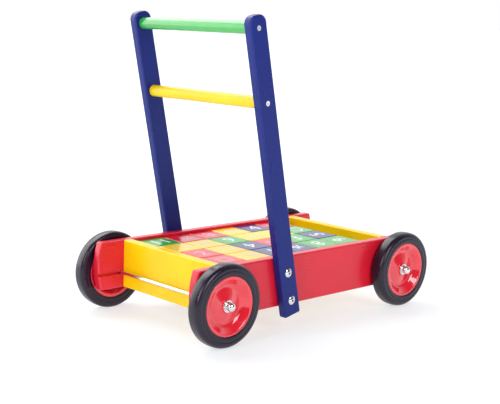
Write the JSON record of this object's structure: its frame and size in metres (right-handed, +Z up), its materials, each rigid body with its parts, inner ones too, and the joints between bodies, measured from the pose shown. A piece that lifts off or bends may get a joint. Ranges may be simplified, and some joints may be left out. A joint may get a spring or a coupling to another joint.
{
  "type": "baby walker",
  "caption": "Push-along wooden baby walker: a low tray of building cubes on rubber-tyred wheels, with leaning uprights and a round handle bar.",
  "frame": {"origin": "on the floor, under the middle of the four wheels", "axes": "+X the way it rolls, away from the handle's lean; +Y the walker's left side; +Z up"},
  "size_m": [0.5, 0.305, 0.4573],
  "materials": {
    "red_wood": "gloss lacquer",
    "yellow_wood": "gloss lacquer",
    "blue_wood": "gloss lacquer",
    "green_wood": "gloss lacquer",
    "plywood": "satin",
    "plain_wood": "raw",
    "red_plastic": "gloss",
    "tyre_rubber": "satin",
    "steel": "polished"
  },
  "bodies": {
    "chassis": {"side_panel_left": "red_wood", "side_panel_right": "red_wood", "front_end_panel": "yellow_wood", "rear_end_panel": "yellow_wood", "tray_floor": "plywood", "corner_dowels": "plain_wood", "upright_left": "blue_wood", "upright_right": "blue_wood", "handle_bar": "green_wood", "cross_bar": "yellow_wood", "bar_screws": "steel", "upright_bolts": "steel", "threaded_inserts": "steel", "front_axle": "steel", "rear_axle": "steel", "inner_washers": "steel", "outer_washers": "steel", "axle_caps": "steel"},
    "wheel_front_left": {"hub_front_left": "red_plastic", "tyre_front_left": "tyre_rubber"},
    "wheel_front_right": {"hub_front_right": "red_plastic", "tyre_front_right": "tyre_rubber"},
    "wheel_rear_left": {"hub_rear_left": "red_plastic", "tyre_rear_left": "tyre_rubber"},
    "wheel_rear_right": {"hub_rear_right": "red_plastic", "tyre_rear_right": "tyre_rubber"},
    "block_row1_column1_body": {"block_row1_column1": "green_wood"},
    "block_row1_column2_body": {"block_row1_column2": "yellow_wood"},
    "block_row1_column3_body": {"block_row1_column3": "red_wood"},
    "block_row1_column4_body": {"block_row1_column4": "red_wood"},
    "block_row2_column1_body": {"block_row2_column1": "red_wood"},
    "block_row2_column2_body": {"block_row2_column2": "yellow_wood"},
    "block_row2_column3_body": {"block_row2_column3": "yellow_wood"},
    "block_row2_column4_body": {"block_row2_column4": "yellow_wood"},
    "block_row3_column1_body": {"block_row3_column1": "red_wood"},
    "block_row3_column2_body": {"block_row3_column2": "green_wood"},
    "block_row3_column3_body": {"block_row3_column3": "blue_wood"},
    "block_row3_column4_body": {"block_row3_column4": "blue_wood"},
    "block_row4_column1_body": {"block_row4_column1": "yellow_wood"},
    "block_row4_column2_body": {"block_row4_column2": "yellow_wood"},
    "block_row4_column3_body": {"block_row4_column3": "red_wood"},
    "block_row4_column4_body": {"block_row4_column4": "blue_wood"},
    "block_row5_column1_body": {"block_row5_column1": "blue_wood"},
    "block_row5_column2_body": {"block_row5_column2": "yellow_wood"},
    "block_row5_column3_body": {"block_row5_column3": "green_wood"},
    "block_row5_column4_body": {"block_row5_column4": "green_wood"},
    "block_row6_column1_body": {"block_row6_column1": "red_wood"},
    "block_row6_column2_body": {"block_row6_column2": "green_wood"},
    "block_row6_column3_body": {"block_row6_column3": "blue_wood"},
    "block_row6_column4_body": {"block_row6_column4": "green_wood"}
  },
  "joints": [
    {"name": "front_left_wheel_spin", "type": "hinge", "parent": "chassis", "child": "wheel_front_left", "pos_m": [0.19, 0.133, 0.06], "axis": [0, 1, 0], "continuous": true},
    {"name": "front_right_wheel_spin", "type": "hinge", "parent": "chassis", "child": "wheel_front_right", "pos_m": [0.19, -0.133, 0.06], "axis": [0, 1, 0], "continuous": true},
    {"name": "rear_left_wheel_spin", "type": "hinge", "parent": "chassis", "child": "wheel_rear_left", "pos_m": [-0.19, 0.133, 0.06], "axis": [0, 1, 0], "continuous": true},
    {"name": "rear_right_wheel_spin", "type": "hinge", "parent": "chassis", "child": "wheel_rear_right", "pos_m": [-0.19, -0.133, 0.06], "axis": [0, 1, 0], "continuous": true},
    {"name": "block_row1_column1_lift", "type": "slide", "parent": "chassis", "child": "block_row1_column1_body", "axis": [0, 0, 1], "range_m": [0, 0.06]},
    {"name": "block_row1_column2_lift", "type": "slide", "parent": "chassis", "child": "block_row1_column2_body", "axis": [0, 0, 1], "range_m": [0, 0.06]},
    {"name": "block_row1_column3_lift", "type": "slide", "parent": "chassis", "child": "block_row1_column3_body", "axis": [0, 0, 1], "range_m": [0, 0.06]},
    {"name": "block_row1_column4_lift", "type": "slide", "parent": "chassis", "child": "block_row1_column4_body", "axis": [0, 0, 1], "range_m": [0, 0.06]},
    {"name": "block_row2_column1_lift", "type": "slide", "parent": "chassis", "child": "block_row2_column1_body", "axis": [0, 0, 1], "range_m": [0, 0.06]},
    {"name": "block_row2_column2_lift", "type": "slide", "parent": "chassis", "child": "block_row2_column2_body", "axis": [0, 0, 1], "range_m": [0, 0.06]},
    {"name": "block_row2_column3_lift", "type": "slide", "parent": "chassis", "child": "block_row2_column3_body", "axis": [0, 0, 1], "range_m": [0, 0.06]},
    {"name": "block_row2_column4_lift", "type": "slide", "parent": "chassis", "child": "block_row2_column4_body", "axis": [0, 0, 1], "range_m": [0, 0.06]},
    {"name": "block_row3_column1_lift", "type": "slide", "parent": "chassis", "child": "block_row3_column1_body", "axis": [0, 0, 1], "range_m": [0, 0.06]},
    {"name": "block_row3_column2_lift", "type": "slide", "parent": "chassis", "child": "block_row3_column2_body", "axis": [0, 0, 1], "range_m": [0, 0.06]},
    {"name": "block_row3_column3_lift", "type": "slide", "parent": "chassis", "child": "block_row3_column3_body", "axis": [0, 0, 1], "range_m": [0, 0.06]},
    {"name": "block_row3_column4_lift", "type": "slide", "parent": "chassis", "child": "block_row3_column4_body", "axis": [0, 0, 1], "range_m": [0, 0.06]},
    {"name": "block_row4_column1_lift", "type": "slide", "parent": "chassis", "child": "block_row4_column1_body", "axis": [0, 0, 1], "range_m": [0, 0.06]},
    {"name": "block_row4_column2_lift", "type": "slide", "parent": "chassis", "child": "block_row4_column2_body", "axis": [0, 0, 1], "range_m": [0, 0.06]},
    {"name": "block_row4_column3_lift", "type": "slide", "parent": "chassis", "child": "block_row4_column3_body", "axis": [0, 0, 1], "range_m": [0, 0.06]},
    {"name": "block_row4_column4_lift", "type": "slide", "parent": "chassis", "child": "block_row4_column4_body", "axis": [0, 0, 1], "range_m": [0, 0.06]},
    {"name": "block_row5_column1_lift", "type": "slide", "parent": "chassis", "child": "block_row5_column1_body", "axis": [0, 0, 1], "range_m": [0, 0.06]},
    {"name": "block_row5_column2_lift", "type": "slide", "parent": "chassis", "child": "block_row5_column2_body", "axis": [0, 0, 1], "range_m": [0, 0.06]},
    {"name": "block_row5_column3_lift", "type": "slide", "parent": "chassis", "child": "block_row5_column3_body", "axis": [0, 0, 1], "range_m": [0, 0.06]},
    {"name": "block_row5_column4_lift", "type": "slide", "parent": "chassis", "child": "block_row5_column4_body", "axis": [0, 0, 1], "range_m": [0, 0.06]},
    {"name": "block_row6_column1_lift", "type": "slide", "parent": "chassis", "child": "block_row6_column1_body", "axis": [0, 0, 1], "range_m": [0, 0.06]},
    {"name": "block_row6_column2_lift", "type": "slide", "parent": "chassis", "child": "block_row6_column2_body", "axis": [0, 0, 1], "range_m": [0, 0.06]},
    {"name": "block_row6_column3_lift", "type": "slide", "parent": "chassis", "child": "block_row6_column3_body", "axis": [0, 0, 1], "range_m": [0, 0.06]},
    {"name": "block_row6_column4_lift", "type": "slide", "parent": "chassis", "child": "block_row6_column4_body", "axis": [0, 0, 1], "range_m": [0, 0.06]}
  ]
}
